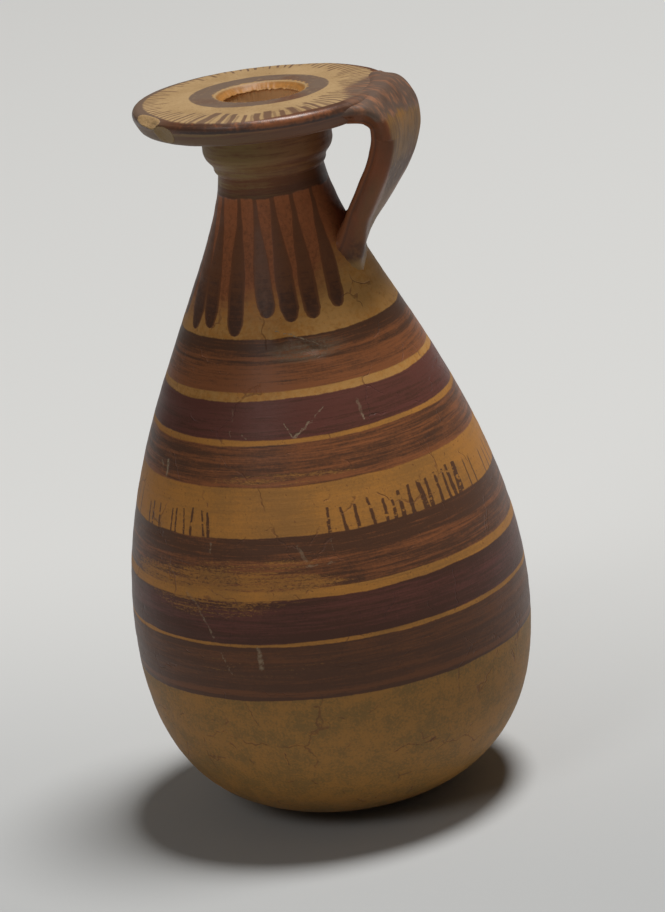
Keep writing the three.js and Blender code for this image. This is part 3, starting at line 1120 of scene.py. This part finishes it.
# A smooth line through the points, cut into even steps
def evenLine(points, count):
    ends = [points[0] * 2 - points[1]] + points + [points[-1] * 2 - points[-2]]
    fine = []
    for p0, p1, p2, p3 in zip(ends, ends[1:], ends[2:], ends[3:]):
        d0, d1, d2 = (math.sqrt((b - a).length) for a, b in ((p0, p1), (p1, p2), (p2, p3)))
        m1 = ((p1 - p0) / d0 - (p2 - p0) / (d0 + d1) + (p2 - p1) / d1) * d1
        m2 = ((p2 - p1) / d1 - (p3 - p1) / (d1 + d2) + (p3 - p2) / d2) * d1
        for i in range(60):
            t = i / 60
            c2, c3 = (p2 - p1) * 3 - m1 * 2 - m2, (p1 - p2) * 2 + m1 + m2
            fine.append(p1 + m1 * t + c2 * t * t + c3 * t * t * t)
    fine.append(points[-1])
    lengths = [0.0]
    for a, b in zip(fine, fine[1:]):
        lengths.append(lengths[-1] + (b - a).length)
    line, at = [], 0
    for i in range(count + 1):
        wanted = lengths[-1] * i / count
        while at < len(fine) - 2 and lengths[at + 1] < wanted:
            at += 1
        share = (wanted - lengths[at]) / (lengths[at + 1] - lengths[at])
        line.append(fine[at].lerp(fine[at + 1], share))
    return line


# Rounded rectangle, counted out evenly so that each station has the same points
def strapSection(width, thickness):
    x, y, r = width / 2, thickness / 2, strap["edgeRound"]
    corners = ((x - r, y - r), (r - x, y - r), (r - x, r - y), (x - r, r - y))
    arcs, points, count = [], [], strap["cornerSteps"]
    for quarter, (cx, cy) in enumerate(corners):
        angles = [math.radians(90 * (quarter + i / count)) for i in range(count + 1)]
        arcs.append([(cx + r * math.cos(angle), cy + r * math.sin(angle)) for angle in angles])
    for arc, after, steps in zip(arcs, arcs[1:] + arcs[:1], (strap["faceSteps"], strap["sideSteps"]) * 2):
        points += arc + [between(arc[-1], after[0], i / steps) for i in range(1, steps)]
    return points


# Signed distance to the shoulder, positive outside
def fromShoulder(co):
    turn, radius, height = roundAbout(co)
    low, high = pearRadius(height - 0.5), pearRadius(height + 0.5)
    return (radius - pearRadius(height)) / math.hypot(1, high - low)


# How far a side that meets a surface stands out there for a soft join of this reach
def flare(away, reach):
    if away >= reach:
        return 0
    return (math.sqrt(reach) - math.sqrt(max(away, 0))) ** 2 * (1 - smooth(-away, 0, reach))


# Moves a point by the given step, then back to its old distance from the surface
def movedAlong(co, step, distance):
    moved = co + step
    near = 0.1
    axes = (Vector((near, 0, 0)), Vector((0, near, 0)), Vector((0, 0, near)))
    out = Vector([distance(moved + axis) - distance(moved - axis) for axis in axes]).normalized()
    return moved - out * (distance(moved) - distance(co))


# Spreads the strap's section where it meets the shoulder
def joined(co, centre, across, through, x, y, width, thickness):
    if fromShoulder(co) > strap["footFlare"] * 1.5:
        return co
    sideways = math.copysign(1, x)
    besides = flare(fromShoulder(centre + across * (sideways * width / 2) + through * y), strap["footJoin"])
    step = across * (sideways * besides * smooth(abs(2 * x / width), 0.3, 1))
    if y > 0:
        outwards = flare(fromShoulder(centre + across * x + through * (thickness / 2)), strap["footFlare"])
        step += through * (outwards * smooth(2 * y / thickness, 0.2, 1))
    return movedAlong(co, step, fromShoulder) if step.length > 0.005 else co


# Spreads the strap's root along the disc's rim, raises its top over it and dips its sides into the disc
def rooted(co, centre, across, through, x, y, width, thickness):
    side = centre + across * math.copysign(width / 2, x)
    join, dip = ("nearJoin", "nearDip") if side.y < centre.y else ("farJoin", "farDip")
    besides = flare(math.hypot(side.x, side.y) - discRadius, strap[join])
    besides *= smooth(abs(2 * x / width), 0.3, 1) * smooth(y / thickness + 0.5, 0.2, 0.85)
    moved = co + across * math.copysign(besides, x)
    radius = math.hypot(co.x, co.y)
    back = radius / math.hypot(moved.x, moved.y)
    near = (1 - smooth(radius, discRadius - 0.6, discRadius + 3.0)) * smooth(through.z, 0.3, 0.95)
    inward = max(discRadius - radius, 0) / (discRadius - crownRadius)
    cover = strap["cover"] * (1 - strap[dip] * smooth(abs(2 * x / width), 0.35, 1))
    cover = mixed(-strap["tipDip"], cover, smooth(radius, discRadius - 4.6, discRadius - 2.4))
    top = (centre + through * (thickness / 2)).z
    lift = near * max(discEdgeTop + disc["topSlope"] * inward + discLift(co) + cover - top, 0)
    return Vector((moved.x * back, moved.y * back, moved.z + lift * smooth(y / thickness + 0.5, 0.1, 0.9)))


def makeStrap():
    line = evenLine(strapPoints(), strap["stations"])
    bm = bmesh.new()
    onStrap = bm.verts.layers.float_vector.new("onStrap")
    count = len(strapSection(1, 1))
    loop = bmesh.ops.create_circle(bm, segments=count, radius=1)["verts"]
    first = loop
    for station, centre in enumerate(line):
        share = station / strap["stations"]
        if station:
            edges = [bm.edges.get((loop[i], loop[(i + 1) % count])) for i in range(count)]
            made = bmesh.ops.extrude_edge_only(bm, edges=edges)["geom"]
            new = {v for v in made if isinstance(v, bmesh.types.BMVert)}
            loop = [next(e.other_vert(v) for e in v.link_edges if e.other_vert(v) in new) for v in loop]
        before, after = line[max(station - 1, 0)], line[min(station + 1, strap["stations"])]
        along = (after - before).normalized()
        pulled = smooth(share, 0, strap["twistedShare"]) * strap["twist"]
        pulled += (1 - smooth(share, *strap["footTwistShares"])) * strap["footTwist"]
        spread = smooth(share, strap["rootShare"], 1)
        twist = math.radians(mixed(pulled, strap["rootTwist"], spread))
        across = Matrix.Rotation(-twist, 3, along) @ Vector((0, 1, 0))
        through = across.cross(along)
        drawn = mixed(strap["footWidth"], strap["width"], smooth(share, 0, strap["drawnShare"]))
        width = mixed(drawn, strap["rootWidth"], spread)
        thinned = mixed(strap["footThickness"], strap["thickness"], smooth(share, 0, strap["footShare"]))
        thickness = mixed(thinned, strap["rootThickness"], spread)
        thickness = mixed(thickness, strap["tipThickness"], smooth(share, strap["tipShare"], 1))
        for vert, (x, y) in zip(loop, strapSection(width, thickness)):
            vert[onStrap] = (2 * x / width, y / thickness + 0.5, share)
            if x < -width / 2 + strap["edgeRound"]:  # groove down the near side, close to its inner edge
                near = (y + thickness / 2 - strap["grooveIn"]) / strap["grooveHalf"]
                deep = strap["grooveDepth"] * math.exp(-near * near)
                x += deep * smooth(share, *strap["grooveShares"]) * (1 - spread)
            spot = centre + across * x + through * y
            if share < 0.5:
                spot = joined(spot, centre, across, through, x, y, width, thickness)
            elif share > strap["bendShare"]:
                spot = rooted(spot, centre, across, through, x, y, width, thickness)
            vert.co = spot
    for end in (first, loop):
        bmesh.ops.contextual_create(bm, geom=end)
    bmesh.ops.recalc_face_normals(bm, faces=bm.faces)
    bm.normal_update()
    moves = []
    for vert in bm.verts:
        lumps = noise.noise(vert.co * 0.16) + 0.4 * noise.noise(vert.co * 0.5)
        fading = 1 - smooth(vert[onStrap].z, strap["rootShare"], 1) * 0.6
        moves.append(vert.normal * strap["handLumps"] * lumps * fading)
    for vert, move in zip(bm.verts, moves):
        vert.co += move
    placed(bm, "strap", "strap_handle", [paintStrap()])


def paintStrap():
    kit = Kit("handle_clay")
    relief, grain, wide, ragged = shoulderClay(kit)
    footClay = kit.colour
    broad = kit.clouds(0.12, 3, 0.55, seed=82)
    along = kit.clouds((0.35, 1.4, 0.12), 4, 0.6, seed=83)
    place = kit.add("Attribute", attribute_name="onStrap")
    across, through, up = kit.parts(place.outputs["Vector"])
    loose = broad.sway(0.14) + ragged.sway(0.05)

    # dull clay on the outer face, with smudges and a dark patch
    kit.colour = kit.mix((broad * 0.7 + along * 0.6).step(0.5, 0.8), "buffDull", "olive")
    lowerHalf = (up + loose).step(0.68, 0.56)
    kit.coat(lowerHalf * (along + ragged * 0.5).step(0.4, 0.75), "strapDull")
    kit.coat((broad + along).step(0.9, 1.2) * 0.7, "brown")
    patch = abs(up + loose - 0.5).step(0.12, 0.05)
    kit.coat(patch * (ragged + along).step(0.7, 1.05) * 0.85, "dark")

    # red-brown slip on both sides and underneath, thin and orange along the inner edge, with painted shade
    # along the groove
    rolled = abs(across) + ragged.sway(0.1) + up.step(0.64, 0.36) * 0.42
    edge = rolled.step(0.84, 0.93)
    sides = kit.most(edge, through.step(0.2, 0.08))
    red = kit.mix((broad + along * 0.6).step(0.6, 1.0), "redBrown", "brown")
    dull = (through + loose * 2 + along.sway(0.3)).step(0.45, 0.7) * up.step(0.6, 0.45)
    red = kit.mix(dull * 0.35, red, "strapDull")
    red = kit.mix(through.step(0.24, 0.16) * 0.5, red, "rust")
    # painted shade: a dark line along the groove in the near side
    red = kit.mix(abs(through - 0.27).step(0.06, 0.02) * 0.5, red, "dark")
    kit.coat(sides, red)
    stained = abs(up + loose - 0.09).step(0.1, 0.04) * through.step(0.3, 0.65)
    kit.coat(stained * (ragged + along).step(0.75, 1.1) * 0.8, "dark")

    # dark slip with red streaks over the root
    slipOver, streak = rootSlip(kit)
    root = (up + across * 0.03 + loose * 0.5 + streak.sway(0.08)).step(0.785, 0.81)
    root = root * through.step(0.55, 0.75)
    kit.coat(root, slipOver)

    # the foot is smeared into the shoulder's clay
    foot = (kit.z + broad.sway(4) + (ragged - 0.5)).step(*fades["strapFoot"])
    kit.coat(foot, kit.mix(through.step(0.45, 0.75) * 0.7, footClay, "olive"))
    painted = kit.most(root, sides)
    height = relief + along * 0.05 + ragged * 0.03
    return kit.finish(0.52 - painted * 0.08 + ragged.sway(0.14), height, 0.2)


makeStrap()
